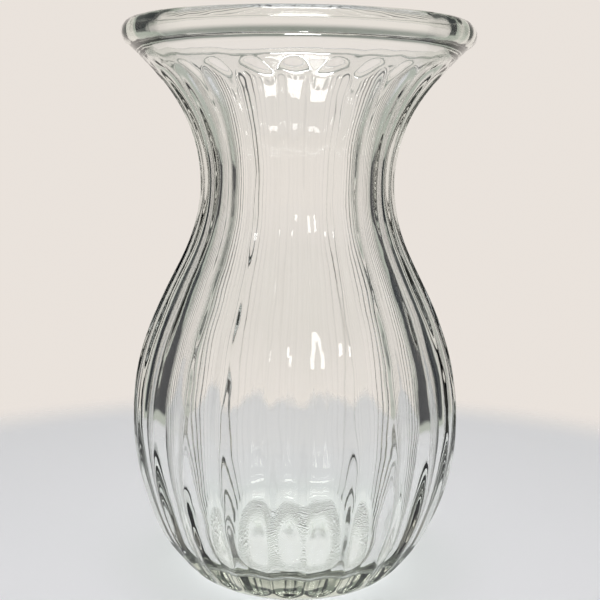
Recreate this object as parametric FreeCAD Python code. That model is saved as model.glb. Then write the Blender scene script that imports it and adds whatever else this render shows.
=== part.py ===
"""Pressed glass fan vase: a fluted body under a plain collar and a rolled lip, made in one piece."""
import FreeCAD, Part
import math
import os

# Overall sizes, in millimetres. The foot rests on z = 0 and the axis of the vase is +Z. The narrowest
# place of the neck is measured down from the top, and the widest of the belly up from the foot.
vase_height = 200.0
rim_radius = 62.2
neck_radius = 35.0
neck_depth = 55.5
belly_radius = 59.4
belly_height = 58.0
foot_radius = 28.5
neck_height = vase_height - neck_depth

# The rolled lip is a round bead. Angles on its section are measured from the level, in degrees:
# the collar's outside meets it in one crease, and the inside meets it in another.
lip_radius = 4.5
lip_crease_angle = -72.0
lip_top_angle = 60.0
lip_inside_angle = 225.0

# Between the named sizes the outside passes through points. Each is a share of the way from one
# size to the next: first of the change in radius, then of the rise.
foot_to_belly_shares = [(0.23, 0.035), (0.41, 0.115), (0.72, 0.35)]
belly_to_neck_shares = [(0.13, 0.30), (0.46, 0.54), (0.90, 0.81)]
neck_to_lip_shares = [(0.05, 0.24), (0.22, 0.49), (0.60, 0.78)]

# The flutes are hollow channels that meet in crisp ridges. They end under the collar in round
# arches, and on the foot in shallow scallops.
flute_count = 24
flute_turn_angle = 5.5
belly_flute_depth = 1.9
neck_flute_depth = 1.2
ridge_inset = 0.25
collar_height = 15.5
arch_rise = 6.0
arch_top_height = vase_height - collar_height
scallop_height = 8.0
scallop_drop = 4.5
section_spacing = 4.0

# Thickness of the glass, measured level, and the depth of solid glass at the floor. The rim's wall
# is measured a little below the bead.
rim_wall = 4.4
rim_wall_depth = 11.0
collar_wall = 4.6
neck_wall = 4.0
shoulder_wall = 4.6
shoulder_share = 0.54
belly_wall = 4.4
heel_wall = 7.0
heel_height = 22.0
floor_thickness = 13.0
floor_radius = 34.0
floor_to_heel_shares = [(0.60, 0.20)]

# Under the foot a shallow dome leaves a flat ring to stand on.
foot_ring_width = 7.5
dome_rise = 1.5
dome_radius = foot_radius - foot_ring_width


def point(radius, height):
    return FreeCAD.Vector(radius, 0, height)


def share_between(low, high, share):
    return low + (high - low) * share


def smooth_edge(points):
    """One smooth curve through the points."""
    curve = Part.BSplineCurve()
    curve.interpolate(Points=points)
    return curve.toShape()


def lean(angle):
    """The direction in the section plane at this angle above the level."""
    turn = math.radians(angle)
    return point(math.cos(turn), math.sin(turn))


def on_lip(angle):
    """A point of the bead's round section."""
    centre = point(rim_radius - lip_radius, vase_height - lip_radius)
    return centre + lean(angle) * lip_radius


def between(low, high, shares):
    """Points of a profile on the way from one place to another."""
    return [
        point(share_between(low.x, high.x, radius_share), share_between(low.z, high.z, rise_share))
        for radius_share, rise_share in shares
    ]


def outside_edge():
    """The outside of the vase without its flutes, from the foot up to the crease under the lip."""
    foot = point(foot_radius, 0)
    belly = point(belly_radius, belly_height)
    neck = point(neck_radius, neck_height)
    crease = on_lip(lip_crease_angle)
    points = [foot, *between(foot, belly, foot_to_belly_shares)]
    points += [belly, *between(belly, neck, belly_to_neck_shares)]
    points += [neck, *between(neck, crease, neck_to_lip_shares), crease]
    return smooth_edge(points)


def radius_at(edge, height):
    """The radius of a profile edge at one height."""
    reach = rim_radius + belly_radius
    level = Part.makeLine(point(0, height), point(reach, height))
    meeting_points = edge.distToShape(level)[1]
    return meeting_points[0][0].x


def inside_edge(outside):
    """The inside, from the lip down to the floor, one thickness of glass in from the outside."""
    walls = [
        (vase_height - rim_wall_depth, rim_wall),
        (arch_top_height, collar_wall),
        (neck_height, neck_wall),
        (share_between(belly_height, neck_height, shoulder_share), shoulder_wall),
        (belly_height, belly_wall),
        (heel_height, heel_wall),
    ]
    points = [point(radius_at(outside, height) - wall, height) for height, wall in walls]
    floor = point(floor_radius, floor_thickness)
    corner = between(floor, points[-1], floor_to_heel_shares)
    return smooth_edge([on_lip(lip_inside_angle), *points, *corner, floor])


def flute_depth(radius):
    """Flutes are deeper where the vase is wider, because the ridges lie further apart."""
    share = (radius - neck_radius) / (belly_radius - neck_radius)
    return share_between(neck_flute_depth, belly_flute_depth, share)


def fluted_section(radius, height):
    """A closed ring of hollow arcs at one height. It swells past the outside beyond each end."""
    depth = flute_depth(radius)
    past_top = max(0, height - (arch_top_height - arch_rise)) / arch_rise
    past_foot = max(0, scallop_height - height) / scallop_drop
    swell = (ridge_inset + depth) * (past_top ** 2 + past_foot ** 2)
    ridge_radius = radius - ridge_inset + swell
    step = 2 * math.pi / flute_count
    start = math.radians(flute_turn_angle)

    def on_ring(ring_radius, turn):
        return FreeCAD.Vector(ring_radius * math.cos(turn), ring_radius * math.sin(turn), height)

    arcs = []
    for flute in range(flute_count):
        ridge = start + flute * step
        hollow = on_ring(ridge_radius - depth, ridge + step / 2)
        arc = Part.Arc(on_ring(ridge_radius, ridge), hollow, on_ring(ridge_radius, ridge + step))
        arcs.append(arc.toShape())
    return Part.Wire(arcs)


def flute_cutter(outside):
    """All that lies outside the flutes, from the foot to just above the arches."""
    stations = outside.discretize(Number=round(outside.Length / section_spacing))
    used = [at for at in stations if 0 < at.z < arch_top_height + arch_rise]
    core = Part.makeLoft([fluted_section(at.x, at.z) for at in used], True)
    low = used[0].z
    high = used[-1].z
    ring = Part.makeCylinder(rim_radius + belly_radius, high - low, point(0, low))
    return ring.cut(core)


def vase_body():
    """The glass: a turned blank with its lip, inside and foot, less the flutes."""
    outside = outside_edge()
    inside = inside_edge(outside)
    lip = Part.Arc(on_lip(lip_crease_angle), on_lip(lip_top_angle), on_lip(lip_inside_angle)).toShape()
    floor = Part.makeLine(point(floor_radius, floor_thickness), point(0, floor_thickness))
    axis = Part.makeLine(point(0, floor_thickness), point(0, dome_rise))
    dome = Part.makeLine(point(0, dome_rise), point(dome_radius, 0))
    ring = Part.makeLine(point(dome_radius, 0), point(foot_radius, 0))
    section = Part.Face(Part.Wire([outside, lip, inside, floor, axis, dome, ring]))
    blank = section.revolve(point(0, 0), FreeCAD.Vector(0, 0, 1), 360)
    return blank.cut(flute_cutter(outside))


os.makedirs("parts", exist_ok=True)
body = vase_body()
body.exportStep("parts/vase_body.step")
print("vase_body: valid", body.isValid(), "solids", len(body.Solids), "volume", round(body.Volume))
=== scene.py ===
# %% [markdown]
# A fluted glass vase
#
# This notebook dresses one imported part, a clear vase that is pressed and blown in a single mould. The part
# is loaded first and stays as it is: it gives the sizes, and everything made here lies in the same place.
# A vase like this has one piece, so the whole lesson is about three things: the shape of the glass, the
# finish of its surfaces, and the light and surroundings that clear glass needs before it can be seen at all.

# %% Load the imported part
import math

import bpy
import numpy as np
from mathutils import Matrix, Vector


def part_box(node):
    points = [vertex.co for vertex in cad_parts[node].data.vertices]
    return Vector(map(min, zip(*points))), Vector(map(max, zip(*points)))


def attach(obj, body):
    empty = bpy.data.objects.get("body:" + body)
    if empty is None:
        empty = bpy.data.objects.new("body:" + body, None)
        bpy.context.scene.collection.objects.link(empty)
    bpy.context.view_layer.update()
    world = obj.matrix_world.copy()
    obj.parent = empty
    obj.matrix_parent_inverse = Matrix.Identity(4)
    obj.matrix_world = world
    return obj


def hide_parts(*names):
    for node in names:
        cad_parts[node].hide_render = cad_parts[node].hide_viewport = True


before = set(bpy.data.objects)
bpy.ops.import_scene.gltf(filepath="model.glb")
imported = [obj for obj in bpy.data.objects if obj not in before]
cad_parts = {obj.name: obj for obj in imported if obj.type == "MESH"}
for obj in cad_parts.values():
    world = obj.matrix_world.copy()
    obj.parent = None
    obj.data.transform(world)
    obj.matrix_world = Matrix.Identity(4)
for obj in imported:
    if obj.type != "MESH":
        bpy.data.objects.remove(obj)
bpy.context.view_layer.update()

# %% [markdown]
# Sizes
#
# Everything is in metres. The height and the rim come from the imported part. The others are the sizes of
# the mould: the narrowest place of the neck, the widest of the belly, and the standing ring of the foot.

# %% Sizes of the blank
MM = 0.001
lowest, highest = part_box("vase_body")
vase_height = highest.z
rim_radius = (highest.x - lowest.x) / 2
neck_radius = 35.0 * MM
neck_down_from_top = 55.5 * MM
neck_height = vase_height - neck_down_from_top
belly_radius = 59.4 * MM
belly_height = 58.0 * MM
foot_radius = 28.5 * MM
print("height", round(vase_height, 4), "rim radius", round(rim_radius, 4))

# %% [markdown]
# The section of the glass
#
# Cut the vase in half and the cut face is one closed shape: out from the axis under the foot, up the
# outside, round the bead of the lip, and down the inside to the floor. Turning that line round the axis
# gives the plain vase, which glassmakers call the blank. A smooth line through a few well-chosen points
# keeps reflections clean, because a reflection shows every small change of curvature. So each stretch here
# is one cubic spline, and its points are written as shares of the way from one named size to the next.

# %% A smooth line through points


def smooth_line(points, samples):
    """Samples of a cubic spline whose slope and curvature never jump."""
    knots = np.array(points, float)
    gaps = np.linalg.norm(np.diff(knots, axis=0), axis=1)
    at = np.concatenate([[0], np.cumsum(gaps)])
    count = len(knots)
    system = np.zeros((count, count))
    wanted = np.zeros((count, 2))
    for i in range(1, count - 1):
        before, after = gaps[i - 1], gaps[i]
        system[i, i - 1 : i + 2] = after, 2 * (before + after), before
        rise_in = (knots[i] - knots[i - 1]) / before
        rise_out = (knots[i + 1] - knots[i]) / after
        wanted[i] = 3 * (after * rise_in + before * rise_out)
    for end, near in ((0, slice(0, 4)), (-1, slice(-4, None))):
        system[end, end] = 1
        fit = np.polyfit(at[near] - at[end], knots[near], len(knots[near]) - 1)
        wanted[end] = fit[-2]
    slopes = np.linalg.solve(system, wanted)
    where = np.linspace(0, at[-1], samples)
    span = np.clip(np.searchsorted(at, where, side="right") - 1, 0, count - 2)
    gap = gaps[span][:, None]
    t = ((where - at[span]) / gaps[span])[:, None]
    start, end = knots[span], knots[span + 1]
    pull_in, pull_out = slopes[span] * gap, slopes[span + 1] * gap
    line = start * (1 + 2 * t) * (1 - t) ** 2 + end * t**2 * (3 - 2 * t)
    return line + pull_in * t * (1 - t) ** 2 - pull_out * t**2 * (1 - t)


def between(low, high, shares):
    """Points on the way from one place to another, by shares of the radius and of the rise."""
    return [(low[0] + (high[0] - low[0]) * a, low[1] + (high[1] - low[1]) * b) for a, b in shares]


# %% The outside, from the foot to the crease under the lip
lip_radius = 4.5 * MM
lip_crease_angle = -72.0
lip_inside_angle = 225.0
foot_to_belly_shares = [(0.23, 0.035), (0.41, 0.115), (0.72, 0.35)]
belly_to_neck_shares = [(0.13, 0.30), (0.46, 0.54), (0.90, 0.81)]
neck_to_lip_shares = [(0.05, 0.24), (0.22, 0.49), (0.60, 0.78)]
outside_samples = 1200


def on_lip(angle):
    """A point of the bead's round section, at an angle above the level."""
    turn = math.radians(angle)
    centre = (rim_radius - lip_radius, vase_height - lip_radius)
    return (centre[0] + lip_radius * math.cos(turn), centre[1] + lip_radius * math.sin(turn))


foot = (foot_radius, 0.0)
belly = (belly_radius, belly_height)
neck = (neck_radius, neck_height)
crease = on_lip(lip_crease_angle)
outside_points = [foot, *between(foot, belly, foot_to_belly_shares), belly]
outside_points += [*between(belly, neck, belly_to_neck_shares), neck]
outside_points += [*between(neck, crease, neck_to_lip_shares), crease]
outside = smooth_line(outside_points, outside_samples)
print("outside:", len(outside_points), "points, widest", round(outside[:, 0].max(), 4))

# %% The inside, one thickness of glass in from the outside
collar_height = 15.5 * MM
arch_top_height = vase_height - collar_height
rim_wall_depth = 11.0 * MM
rim_wall = 4.4 * MM
collar_wall = 4.6 * MM
neck_wall = 4.0 * MM
shoulder_share = 0.54
shoulder_height = belly_height + (neck_height - belly_height) * shoulder_share
shoulder_wall = 4.6 * MM
belly_wall = 4.4 * MM
heel_height = 22.0 * MM
heel_wall = 7.0 * MM
floor_thickness = 13.0 * MM
floor_radius = 34.0 * MM
floor_to_heel_shares = [(0.60, 0.20)]
inside_samples = 900
walls = [
    (vase_height - rim_wall_depth, rim_wall),
    (arch_top_height, collar_wall),
    (neck_height, neck_wall),
    (shoulder_height, shoulder_wall),
    (belly_height, belly_wall),
    (heel_height, heel_wall),
]
inside_points = [(float(np.interp(z, outside[:, 1], outside[:, 0])) - wall, z) for z, wall in walls]
floor_edge = (floor_radius, floor_thickness)
inside_points += between(floor_edge, inside_points[-1], floor_to_heel_shares)
inside = smooth_line([on_lip(lip_inside_angle), *inside_points, floor_edge], inside_samples)
print("inside:", len(inside), "samples, narrowest", round(inside[: len(inside) // 2, 0].min(), 4))

# %% [markdown]
# Fire polish
#
# After moulding, the vase goes through a flame that melts its skin, and every edge turns slightly round. A
# soft average along the section does the same: it leaves the long curves alone and rounds the crease under
# the lip and the edges of the standing ring. The rows of the mesh are then spread along the section, close
# together where the shape is small, as at the lip and the arches, and further apart along the plain wall.

# %% The whole section, fire-polished
foot_ring_width = 7.5 * MM
dome_rise = 1.5 * MM
polish_reach = 0.45 * MM
polish_reaches_kept = 4
fine_step = 0.1 * MM
lip_samples = 200


def evenly(line, step):
    """The same line with its points one step apart."""
    run = np.concatenate([[0], np.cumsum(np.linalg.norm(np.diff(line, axis=0), axis=1))])
    where = np.linspace(0, run[-1], round(run[-1] / step))
    return np.column_stack([np.interp(where, run, line[:, axis]) for axis in (0, 1)])


def fire_polish(line, reach):
    """Each point moves to a soft average of its neighbours along the line."""
    steps = round(polish_reaches_kept * reach / fine_step)
    offsets = np.arange(-steps, steps + 1) * fine_step
    weight = np.exp(-0.5 * (offsets / reach) ** 2)
    weight /= weight.sum()
    mirror = np.array([-1.0, 1.0])
    ends = [line[steps:0:-1] * mirror, line, line[-2 : -steps - 2 : -1] * mirror]
    longer = np.vstack(ends)
    return np.column_stack([np.convolve(longer[:, axis], weight, "valid") for axis in (0, 1)])


dome_edge = (foot_radius - foot_ring_width, 0.0)
lip_angles = np.linspace(lip_crease_angle, lip_inside_angle, lip_samples)[1:-1]
lip = np.array([on_lip(angle) for angle in lip_angles])
stretches = [[(0.0, dome_rise), dome_edge], outside, lip, inside, [(0.0, floor_thickness)]]
raw_section = evenly(np.vstack([np.array(part, float) for part in stretches]), fine_step)
section = fire_polish(raw_section, polish_reach)
section[[0, -1], 0] = 0.0
polish_most = float(np.abs(section - raw_section).max()) / MM
print("section:", len(section), "samples; polish moves it by up to", round(polish_most, 2), "mm")

# %% Rows of the mesh along the section
arch_rise = 6.0 * MM
row_count = 196
plain_closeness = 1.0
arch_closeness = 4.5
arch_zone_rises = 1.3
arch_zone_above = 0.5 * MM
lip_closeness = 3.2
foot_closeness = 2.0
foot_zone_height = 6.0 * MM
foot_zone_share = 0.5
blend = 3.0 * MM
on_outside = np.arange(len(section)) < np.argmax(section[:, 1])


def near(heights, low, high, blend):
    """One between two heights, fading to nothing over the blend on either side."""
    return np.clip(np.minimum(heights - low, high - heights) / blend + 1, 0, 1)


heights = section[:, 1]
closeness = np.full(len(section), plain_closeness)
arches_from = arch_top_height - arch_zone_rises * arch_rise
arches = near(heights, arches_from, arch_top_height + arch_zone_above, blend)
closeness += arch_closeness * arches * on_outside
closeness += lip_closeness * near(heights, vase_height - 2 * lip_radius, vase_height, blend)
near_foot = near(heights, -blend, foot_zone_height, blend) * (section[:, 0] > foot_zone_share * foot_radius)
closeness += foot_closeness * near_foot
progress = np.cumsum(closeness)
progress = (progress - progress[0]) / (progress[-1] - progress[0])
picks = np.interp(np.linspace(0, 1, row_count), progress, np.arange(len(section)))
rows = np.column_stack([np.interp(picks, np.arange(len(section)), section[:, axis]) for axis in (0, 1)])
row_is_outside = np.interp(picks, np.arange(len(section)), on_outside.astype(float))
row_gaps = np.linalg.norm(np.diff(rows, axis=0), axis=1) / MM
print("rows:", row_count, "spaced", round(row_gaps.min(), 2), "to", round(row_gaps.max(), 2), "mm apart")

# %% The section as a line of vertices for the node tree to read
section_mesh = bpy.data.meshes.new("vase_section")
section_mesh.from_pydata([(r, 0.0, z) for r, z in rows], [(i, i + 1) for i in range(row_count - 1)], [])
outer = section_mesh.attributes.new("outer", "FLOAT", "POINT")
outer.data.foreach_set("value", row_is_outside.astype(np.float32))
section_line = bpy.data.objects.new("vase_section", section_mesh)
bpy.context.scene.collection.objects.link(section_line)
print("section line:", len(section_mesh.vertices), "vertices")

# %% [markdown]
# The flutes
#
# Twenty-four hollow channels run from the foot to the collar and meet in narrow ridges. That is a rule, so
# Geometry Nodes can follow it: one grid of vertices, with a row for each point of the section and a column
# for each small turn round the axis. The tree reads the section, turns it, and sinks the wall between each
# pair of ridges. Under the collar the channels swell out through the wall, so each ends in a round arch, and
# near the foot they end in shallow scallops. Columns gather at the ridges, where the bend is sharp. Hot
# glass never fills a mould quite evenly, so the ridges wander a little off their lines and the wall sways
# in and out. Both follow noise with a fixed seed, so the vase comes out the same each time.

# %% A small helper for writing sums in a node tree


class Sums:
    """Adds Math nodes to a tree: sums("ADD", a, b) gives the socket that holds a + b."""

    def __init__(self, tree):
        self.tree = tree

    def feed(self, socket, value):
        if isinstance(value, bpy.types.NodeSocket):
            self.tree.links.new(value, socket)
        else:
            socket.default_value = value

    def __call__(self, operation, *values, clamp=False):
        node = self.tree.nodes.new("ShaderNodeMath")
        node.operation = operation
        node.use_clamp = clamp
        for socket, value in zip(node.inputs, values):
            self.feed(socket, value)
        return node.outputs[0]

    def node(self, kind, inputs=None, **settings):
        """Any other node, with its settings and the values or links of its inputs."""
        node = self.tree.nodes.new(kind)
        for name, value in settings.items():
            setattr(node, name, value)
        for name, value in (inputs or {}).items():
            self.feed(node.inputs[name], value)
        return node


# %% The inputs of the tree, with the mould's sizes
neck_flute_depth = 1.2 * MM
belly_flute_depth = 1.9 * MM
weld_distance = 0.001 * MM
flute_inputs = {
    "Section": section_line,
    "Flutes": 24,
    "Steps in a flute": 20,
    "Turn": math.radians(5.5),
    "Gathering": 0.6,
    "Ridge softness": 0.30,
    "Neck radius": neck_radius,
    "Belly radius": belly_radius,
    "Neck depth": neck_flute_depth,
    "Belly depth": belly_flute_depth,
    "Ridge inset": 0.25 * MM,
    "Arch top": arch_top_height,
    "Arch rise": arch_rise,
    "Scallop height": 8.0 * MM,
    "Scallop drop": 4.5 * MM,
    "Melt": 0.25 * MM,
    "Inner echo": 0.12 * MM,
    "Sway": 0.75 * MM,
    "Wander": math.radians(2.6),
    "Sway size": 15.0 * MM,
    "Sway stretch": 0.6,
    "Sway seed outside": 7.3,
    "Wander seed": 3.1,
    "Glass": None,
}
number_kinds = {int: "NodeSocketInt", float: "NodeSocketFloat"}
other_kinds = {"Section": "NodeSocketObject", "Glass": "NodeSocketMaterial"}
tree = bpy.data.node_groups.new("fluted_vase", "GeometryNodeTree")
for name, value in flute_inputs.items():
    kind = other_kinds.get(name) or number_kinds[type(value)]
    tree.interface.new_socket(name, in_out="INPUT", socket_type=kind)
tree.interface.new_socket("Vase", in_out="OUTPUT", socket_type="NodeSocketGeometry")
given = tree.nodes.new("NodeGroupInput").outputs
sums = Sums(tree)
print("tree inputs:", ", ".join(flute_inputs))

# %% The grid, and each vertex's place on the section
section_info = sums.node("GeometryNodeObjectInfo", {"Object": given["Section"]})
line = section_info.outputs["Geometry"]
size = sums.node("GeometryNodeAttributeDomainSize", {"Geometry": line})
columns = sums("ADD", sums("MULTIPLY", given["Flutes"], given["Steps in a flute"]), 1)
grid = sums.node("GeometryNodeMeshGrid", {"Vertices X": size.outputs["Point Count"], "Vertices Y": columns})
index = sums.node("GeometryNodeInputIndex").outputs[0]
row = sums("FLOOR", sums("DIVIDE", sums("ADD", index, 0.5), columns))
column = sums("SUBTRACT", index, sums("MULTIPLY", row, columns))
place = sums.node("GeometryNodeSampleIndex", {"Geometry": line, "Index": row}, data_type="FLOAT_VECTOR")
sums.feed(place.inputs["Value"], sums.node("GeometryNodeInputPosition").outputs[0])
outer_name = sums.node("GeometryNodeInputNamedAttribute", {"Name": "outer"}, data_type="FLOAT")
outer_here = sums.node("GeometryNodeSampleIndex", {"Geometry": line, "Index": row}, data_type="FLOAT")
sums.feed(outer_here.inputs["Value"], outer_name.outputs["Attribute"])
apart = sums.node("ShaderNodeSeparateXYZ", {"Vector": place.outputs["Value"]})
radius = apart.outputs["X"]
height = apart.outputs["Z"]
is_outer = outer_here.outputs["Value"]
print("grid and places:", len(tree.nodes), "nodes so far")

# %% The turn round the axis, with columns gathered at the ridges
turns = sums("DIVIDE", column, given["Steps in a flute"])
flute = sums("FLOOR", turns)
even = sums("SUBTRACT", turns, flute)
lean_in = sums("MULTIPLY", sums("SINE", sums("MULTIPLY", even, math.tau)), 1 / math.tau)
across = sums("SUBTRACT", even, sums("MULTIPLY", lean_in, given["Gathering"]))
pitch = sums("DIVIDE", math.tau, given["Flutes"])
straight = sums("ADD", given["Turn"], sums("MULTIPLY", sums("ADD", flute, across), pitch))
wander_place = sums.node("ShaderNodeCombineXYZ", {
    "X": sums("MULTIPLY", radius, sums("COSINE", straight)),
    "Y": sums("MULTIPLY", radius, sums("SINE", straight)),
    "Z": height})
wandering = sums.node("ShaderNodeTexNoise", {
    "Vector": wander_place.outputs[0], "W": given["Wander seed"],
    "Scale": sums("DIVIDE", 1, given["Sway size"]), "Detail": 1.0}, noise_dimensions="4D")
wander = sums("MULTIPLY", sums("SUBTRACT", wandering.outputs[0], 0.5), given["Wander"])
angle = sums("ADD", straight, wander)
print("turn round the axis:", len(tree.nodes), "nodes so far")

# %% The hollow of a flute: none at the ridge, full in the middle
from_middle = sums("ABSOLUTE", sums("SUBTRACT", sums("MULTIPLY", across, 2), 1))
from_ridge = sums("SUBTRACT", 1, from_middle)
soft = given["Ridge softness"]
soft_square = sums("MULTIPLY", soft, soft)


def softened(distance):
    """The distance, with its sharp start at nothing made round."""
    return sums("SUBTRACT", sums("SQRT", sums("MULTIPLY_ADD", distance, distance, soft_square)), soft)


round_share = sums("SUBTRACT", 1, sums("DIVIDE", softened(from_ridge), softened(1.0)))
hollow = sums("SUBTRACT", 1, sums("MULTIPLY", round_share, round_share))
wide_share = sums.node("ShaderNodeMapRange", {
    "Value": radius, "From Min": given["Neck radius"], "From Max": given["Belly radius"],
    "To Min": given["Neck depth"], "To Max": given["Belly depth"]}, clamp=False)
depth = wide_share.outputs[0]
print("hollow of a flute:", len(tree.nodes), "nodes so far")

# %% Arches above and scallops below: the channels swell out through the wall
above = sums("SUBTRACT", height, sums("SUBTRACT", given["Arch top"], given["Arch rise"]))
past_top = sums("DIVIDE", sums("MAXIMUM", above, 0), given["Arch rise"])
below = sums("SUBTRACT", given["Scallop height"], height)
past_foot = sums("DIVIDE", sums("MAXIMUM", below, 0), given["Scallop drop"])
past = sums("ADD", sums("MULTIPLY", past_top, past_top), sums("MULTIPLY", past_foot, past_foot))
swell = sums("MULTIPLY", sums("ADD", given["Ridge inset"], depth), past)
sunk = sums("ADD", given["Ridge inset"], sums("MULTIPLY", depth, hollow))
drop = sums("SUBTRACT", sunk, swell)
carved = sums("SMOOTH_MAX", drop, 0, given["Melt"])
carved_outside = sums("MULTIPLY", carved, is_outer)
print("arches and scallops:", len(tree.nodes), "nodes so far")

# %% The inside echoes the flutes a little, and the whole wall sways as moulded glass does
along_wall = sums("MULTIPLY", sums.node("ShaderNodeMapRange", {
    "Value": height, "From Min": floor_thickness, "From Max": 2 * heel_height}).outputs[0],
    sums("SUBTRACT", 1, sums("MINIMUM", past_top, 1)))
echo = sums("MULTIPLY", sums("MULTIPLY", given["Inner echo"], hollow), along_wall)
carved_inside = sums("MULTIPLY", echo, sums("SUBTRACT", 1, is_outer))
noise_place = sums.node("ShaderNodeCombineXYZ", {
    "X": sums("MULTIPLY", radius, sums("COSINE", angle)),
    "Y": sums("MULTIPLY", radius, sums("SINE", angle)),
    "Z": sums("MULTIPLY", height, given["Sway stretch"])})
sway = sums.node("ShaderNodeTexNoise", {
    "Vector": noise_place.outputs[0], "W": sums("MULTIPLY", is_outer, given["Sway seed outside"]),
    "Scale": sums("DIVIDE", 1, given["Sway size"]), "Detail": 1.0}, noise_dimensions="4D")
swaying = sums("MULTIPLY", sums("SUBTRACT", sway.outputs[0], 0.5), given["Sway"])
off_axis = sums("MULTIPLY", sums("DIVIDE", radius, given["Neck radius"]), 1, clamp=True)
inward = sums("ADD", sums("ADD", carved_outside, carved_inside), sums("MULTIPLY", swaying, off_axis))
wall_radius = sums("SUBTRACT", radius, inward)
print("inside and sway:", len(tree.nodes), "nodes so far")

# %% Put the vertices there, close the seam and finish
new_place = sums.node("ShaderNodeCombineXYZ", {
    "X": sums("MULTIPLY", wall_radius, sums("COSINE", angle)),
    "Y": sums("MULTIPLY", wall_radius, sums("SINE", angle)),
    "Z": height})
moved = sums.node("GeometryNodeSetPosition", {
    "Geometry": grid.outputs["Mesh"], "Position": new_place.outputs[0]})
closed = sums.node("GeometryNodeMergeByDistance", {
    "Geometry": moved.outputs[0], "Distance": weld_distance})
smooth = sums.node("GeometryNodeSetShadeSmooth", {"Geometry": closed.outputs[0]})
solid = sums.node("GeometryNodeRealizeInstances", {"Geometry": smooth.outputs[0]})
dressed = sums.node("GeometryNodeSetMaterial", {"Geometry": solid.outputs[0], "Material": given["Glass"]})
tree.links.new(dressed.outputs[0], tree.nodes.new("NodeGroupOutput").inputs[0])
print("the tree has", len(tree.nodes), "nodes")

# %% [markdown]
# The finish of the glass
#
# Clear soda-lime glass has a refractive index of about 1.52 and swallows a little light, green least, so
# thin walls look clear and long ways through the bead or the base look grey-green. That tint belongs to the
# depth of the glass, so it is a Volume Absorption with one plain colour. The skin has its own marks: a soft
# unevenness that bends the reflections, faint drawn lines that run up and down where the gob slid in the
# mould, and a stippled ring under the foot. The lines and the stipple are finer than a sensible mesh. So
# all the marks are small bumps and changes of roughness in the material, worked out from Object coordinates.

# %% Marks of the skin: drawn lines, unevenness and the stippled ring, as small bumps
drawn_line_height = 0.012 * MM
drawn_line_stretch = 0.045
unevenness = 0.080 * MM
stipple_depth = 0.25 * MM
stipple_gone_at = 0.6 * MM
stipple_full_at = 0.1 * MM
glass = bpy.data.materials.new("clear_glass")
glass.use_nodes = True
glass.node_tree.nodes.clear()
skin = Sums(glass.node_tree)
object_place = skin.node("ShaderNodeTexCoord").outputs["Object"]
parts = skin.node("ShaderNodeSeparateXYZ", {"Vector": object_place})

drawn_place = skin.node("ShaderNodeMapping", {
    "Vector": object_place, "Scale": (1.0, 1.0, drawn_line_stretch)})
drawn_lines = skin.node("ShaderNodeTexNoise", {
    "Vector": drawn_place.outputs[0], "Scale": 260.0, "Detail": 2.0, "Roughness": 0.5})
uneven = skin.node("ShaderNodeTexNoise", {"Vector": object_place, "Scale": 110.0, "Detail": 1.0})
stipple = skin.node("ShaderNodeTexVoronoi", {"Vector": object_place, "Scale": 1000.0}, feature="F1")
near_floor = skin.node("ShaderNodeMapRange", {
    "Value": parts.outputs["Z"], "From Min": stipple_gone_at, "From Max": stipple_full_at})
ring_mask = near_floor.outputs[0]

line_height = skin("MULTIPLY", skin("SUBTRACT", drawn_lines.outputs[0], 0.5), drawn_line_height)
uneven_height = skin("MULTIPLY", skin("SUBTRACT", uneven.outputs[0], 0.5), unevenness)
stipple_height = skin("MULTIPLY", skin("MULTIPLY", stipple.outputs["Distance"], ring_mask), stipple_depth)
surface = skin("ADD", skin("ADD", line_height, uneven_height), stipple_height)
bump = skin.node("ShaderNodeBump", {"Height": surface, "Strength": 1.0, "Distance": 1.0})
print("marks of the skin:", len(glass.node_tree.nodes), "nodes so far")

# %% Tone and roughness: almost clear, with a little haze and a worn standing ring
ring_wear = 0.25
most_haze = 0.012
clearest = (0.996, 0.996, 0.995, 1.0)
least_clear = (0.984, 0.985, 0.983, 1.0)
tone = skin.node("ShaderNodeTexNoise", {"Vector": object_place, "Scale": 45.0, "Detail": 3.0})
body_colour = skin.node("ShaderNodeMix", {
    "Factor": tone.outputs[0], "A": least_clear, "B": clearest}, data_type="RGBA")
wear = skin("MULTIPLY", ring_mask, ring_wear)
haze = skin("MULTIPLY", tone.outputs[0], most_haze)
roughness = skin("ADD", wear, haze)
print("tone and roughness:", len(glass.node_tree.nodes), "nodes so far")

# %% The glass itself: refraction, the light it lets through to the floor, and its tint by depth
passed_to_lamps = (0.955, 0.965, 0.96, 1.0)
depth_tint = (0.875, 0.905, 0.85, 1.0)
principled = skin.node("ShaderNodeBsdfPrincipled", {
    "Base Color": body_colour.outputs["Result"], "Roughness": roughness, "IOR": 1.52,
    "Transmission Weight": 1.0, "Normal": bump.outputs[0]})
clear_to_lamps = skin.node("ShaderNodeBsdfTransparent", {"Color": passed_to_lamps})
ray = skin.node("ShaderNodeLightPath")
shade = skin.node("ShaderNodeMixShader", {
    0: ray.outputs["Is Shadow Ray"], 1: principled.outputs[0], 2: clear_to_lamps.outputs[0]})
absorption = skin.node("ShaderNodeVolumeAbsorption", {"Color": depth_tint, "Density": 30.0})
skin.node("ShaderNodeOutputMaterial", {"Surface": shade.outputs[0], "Volume": absorption.outputs[0]})
print("glass:", len(glass.node_tree.nodes), "nodes")

# %% [markdown]
# From the tree to a mesh
#
# The tree could stay live on the vase, but a part that others use is easier to handle as a plain mesh. So
# the tree runs once on an empty carrier, its result is kept, and the modifier, the carrier and the section
# line are taken away. The volume inside the mesh comes out negative where the faces point inwards, so it
# is measured, and they are then turned round.

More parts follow.
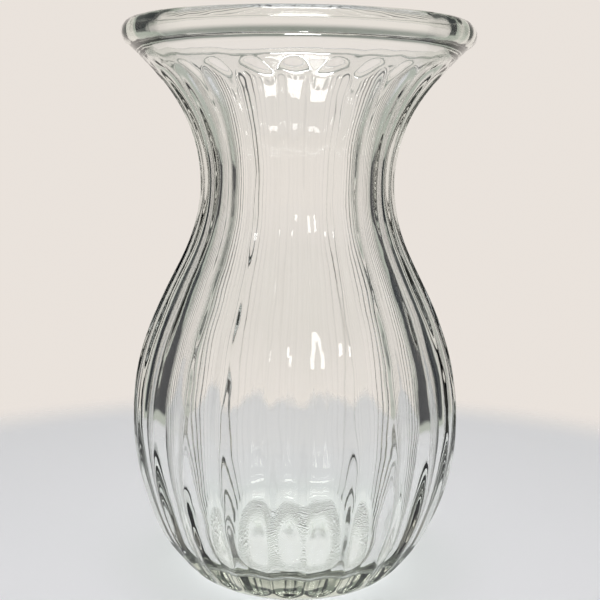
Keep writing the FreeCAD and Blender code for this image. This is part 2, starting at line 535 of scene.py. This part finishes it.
# %% Make the vase: run the tree once and keep its mesh
flute_inputs["Glass"] = glass
carrier = bpy.data.objects.new("vase_carrier", bpy.data.meshes.new("vase_carrier"))
bpy.context.scene.collection.objects.link(carrier)
fluting = carrier.modifiers.new("fluting", "NODES")
fluting.node_group = tree
for item in tree.interface.items_tree:
    if item.in_out == "INPUT":
        fluting[item.identifier] = flute_inputs[item.name]
evaluated = carrier.evaluated_get(bpy.context.evaluated_depsgraph_get())
vase_mesh = bpy.data.meshes.new_from_object(evaluated)
carrier.modifiers.remove(fluting)
bpy.data.objects.remove(carrier)
bpy.data.objects.remove(section_line)
vase = bpy.data.objects.new("fluted_vase", vase_mesh)
bpy.context.scene.collection.objects.link(vase)


def volume_of(mesh):
    """The volume inside a closed mesh. It is negative if the faces point inwards."""
    mesh.calc_loop_triangles()
    corners = np.array([[mesh.vertices[v].co for v in t.vertices] for t in mesh.loop_triangles])
    return float(np.einsum("ij,ij->i", corners[:, 0], np.cross(corners[:, 1], corners[:, 2])).sum() / 6)


vase_volume = volume_of(vase_mesh)
if vase_volume < 0:
    vase_mesh.flip_normals()
CM3 = 1e-6
print("vase:", len(vase_mesh.loop_triangles), "triangles,", round(abs(vase_volume) / CM3, 1), "cm3 of glass")

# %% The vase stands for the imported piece
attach(vase, "root")
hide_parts("vase_body")
print("fluted_vase rides on root, stands for vase_body and carries the slot clear_glass")

# %% [markdown]
# The studio
#
# Clear glass shows only its surroundings, bent. A pale, even ground behind it gives the light body, and the
# dark lines along its sides are darker parts of the room, squeezed into the edges by the curved wall. So
# this room has warm pale walls before and behind, dim grey-green sides with a dark doorway on each, a dim
# ceiling, and a cool pale floor. It could all be built of panels, but a world whose colour follows the
# direction gives the same and is easier to tune. Camera and glass see the same pale wall and floor. The
# camera's straight view leaves out the dim parts, so that the outline stands clear, and the glass bends
# them into its edges.

# %% The room: pale walls, dimmer sides with a dark doorway, and a dim ceiling
wall_colour = (0.82, 0.765, 0.715, 1.0)
side_colour = (0.43, 0.455, 0.40, 1.0)
door_colour = (0.02, 0.023, 0.028, 1.0)
ceiling_colour = (0.24, 0.26, 0.225, 1.0)
side_from, side_full = math.radians(26.0), math.radians(40.0)
side_until, side_gone = math.radians(84.0), math.radians(98.0)
door_turn, door_half_width = math.radians(63.0), math.radians(17.0)
door_low, door_high = math.radians(-9.0), math.radians(13.0)
ceiling_from, ceiling_full = math.radians(14.0), math.radians(34.0)
blur = math.radians(3.0)
world = bpy.data.worlds.new("studio_room")
bpy.context.scene.world = world
world.use_nodes = True
world.node_tree.nodes.clear()
room = Sums(world.node_tree)
way = room.node("ShaderNodeSeparateXYZ", {"Vector": room.node("ShaderNodeTexCoord").outputs["Generated"]})
heading = room("ABSOLUTE", room("ARCTAN2", way.outputs["X"], way.outputs["Y"]))
rise = room("ARCSINE", way.outputs["Z"])
ray = room.node("ShaderNodeLightPath")
unseen = room("SUBTRACT", 1, ray.outputs["Is Camera Ray"])


def fade(value, zero_at, one_at):
    """A soft step from nothing to one between two values."""
    inputs = {"Value": value, "From Min": zero_at, "From Max": one_at}
    return room.node("ShaderNodeMapRange", inputs, interpolation_type="SMOOTHSTEP").outputs[0]


def patch(turn, half_width, low, high):
    """One inside a patch of the room, on both sides, fading to nothing at its edges."""
    off_centre = room("ABSOLUTE", room("SUBTRACT", heading, turn))
    up = room("MULTIPLY", fade(rise, low - blur, low), fade(rise, high + blur, high))
    return room("MULTIPLY", fade(off_centre, half_width + blur, half_width), up)


def cover(below, mask, colour):
    """The colour laid over what is below, where the mask says and the camera doesn't look straight at it."""
    inputs = {"Factor": room("MULTIPLY", mask, unseen), "A": below, "B": colour}
    return room.node("ShaderNodeMix", inputs, data_type="RGBA").outputs["Result"]


sides = room("MULTIPLY", fade(heading, side_from, side_full), fade(heading, side_gone, side_until))
seen = cover(wall_colour, sides, side_colour)
seen = cover(seen, patch(door_turn, door_half_width, door_low, door_high), door_colour)
seen = cover(seen, fade(rise, ceiling_from, ceiling_full), ceiling_colour)
light = room.node("ShaderNodeBackground", {"Color": seen, "Strength": 1.0})
room.node("ShaderNodeOutputWorld", {"Surface": light.outputs[0]})
print("room:", len(world.node_tree.nodes), "nodes")

# %% The floor: a round pale table top whose edge fades into the room
floor_reach = 0.30
floor_fade_from = 0.235
floor_drop = 0.2 * MM
floor_sides = 96
floor_mesh = bpy.data.meshes.new("studio_floor")
rim_turns = np.linspace(0, math.tau, floor_sides, endpoint=False)
rim = [(floor_reach * math.cos(t), floor_reach * math.sin(t), -floor_drop) for t in rim_turns]
floor_mesh.from_pydata(rim, [], [tuple(range(len(rim)))])
studio_floor = bpy.data.objects.new("studio_floor", floor_mesh)
bpy.context.scene.collection.objects.link(studio_floor)
print("floor:", round(2 * floor_reach, 2), "m across, plain to", round(2 * floor_fade_from, 2), "m")

# %% Its matt paper, clear towards the edge
floor_colour = (0.82, 0.81, 0.865, 1.0)
paper = bpy.data.materials.new("pale_paper")
paper.use_nodes = True
paper.node_tree.nodes.clear()
top = Sums(paper.node_tree)
floor_place = top.node("ShaderNodeTexCoord").outputs["Object"]
spot = top.node("ShaderNodeVectorMath", {0: floor_place}, operation="LENGTH")
edge = top.node("ShaderNodeMapRange", {
    "Value": spot.outputs["Value"], "From Min": floor_fade_from, "From Max": floor_reach},
    interpolation_type="SMOOTHSTEP")
matt = top.node("ShaderNodeBsdfPrincipled", {"Base Color": floor_colour, "Roughness": 0.7})
gone = top.node("ShaderNodeBsdfTransparent")
faded = top.node("ShaderNodeMixShader", {
    0: edge.outputs[0], 1: matt.outputs[0], 2: gone.outputs[0]})
top.node("ShaderNodeOutputMaterial", {"Surface": faded.outputs[0]})
floor_mesh.materials.append(paper)
print("paper:", len(paper.node_tree.nodes), "nodes")

# %% [markdown]
# The lamps
#
# The small white marks on the neck and the shoulder of such a vase are reflections of windows. They could
# be painted, but then they would stay put while the vase turns. Here a skylight and two window lamps make
# them, each a soft rectangle of even brightness. The floor needs more light than these give, so a large
# fill lamp lights it too, hidden from reflections and from the view through the glass.

# %% Soft lamps: a skylight, two windows, and a fill that lights only the floor


def soft_lamp(name, size, brightness, place, aim):
    """A rectangular lamp; brightness is what a reflection of it shows, where 1 is white."""
    lamp = bpy.data.lights.new(name, "AREA")
    lamp.shape = "RECTANGLE"
    lamp.size, lamp.size_y = size
    lamp.energy = brightness * math.pi * size[0] * size[1]
    holder = bpy.data.objects.new(name, lamp)
    holder.location = place
    holder.rotation_euler = (Vector(aim) - Vector(place)).to_track_quat("-Z", "Y").to_euler()
    bpy.context.scene.collection.objects.link(holder)
    return holder


middle = (0.0, 0.0, vase_height / 2)
soft_lamp("skylight", size=(0.40, 0.26), brightness=8.0, place=(0.0, -0.10, 1.1), aim=middle)
soft_lamp("window", size=(0.20, 0.10), brightness=9.0, place=(0.05, -1.30, 0.75), aim=middle)
soft_lamp("high_window", size=(0.40, 0.10), brightness=7.0, place=(0.03, -0.75, 0.95), aim=middle)
fill = soft_lamp("fill", size=(0.90, 0.90), brightness=3.3, place=(0.0, -0.30, 1.6), aim=middle)
fill.visible_glossy = False
fill.visible_transmission = False
glass_bounces = 24
bpy.context.scene.cycles.max_bounces = glass_bounces
bpy.context.scene.cycles.transmission_bounces = glass_bounces
print("lamps:", ", ".join(lamp.name for lamp in bpy.data.lights))

# %% [markdown]
# The camera
#
# The photograph was taken from close by, from about the height of the neck, looking slightly down. Its
# distance shows in how round the mouth looks against the base. The camera is set at that place, turned a
# touch so that the axis of the vase leans in the frame as it does there.

# %% The camera
camera = bpy.data.cameras.new("camera")
camera.lens = 66.5
camera_object = bpy.data.objects.new("camera", camera)
bpy.context.scene.collection.objects.link(camera_object)
camera_place = Vector((0.0, -0.400, 0.1596))
look_down = math.radians(8.25)
look_aside = math.radians(-0.195)
roll = math.radians(0.65)
turned = Matrix.Rotation(look_aside, 4, "Z") @ Matrix.Rotation(math.pi / 2 - look_down, 4, "X")
camera_object.matrix_world = Matrix.Translation(camera_place) @ turned @ Matrix.Rotation(roll, 4, "Z")
bpy.context.scene.camera = camera_object
bpy.context.scene.view_settings.view_transform = "Standard"
print("camera:", camera.lens, "mm lens,", round(camera_place.length, 3), "m from the foot")
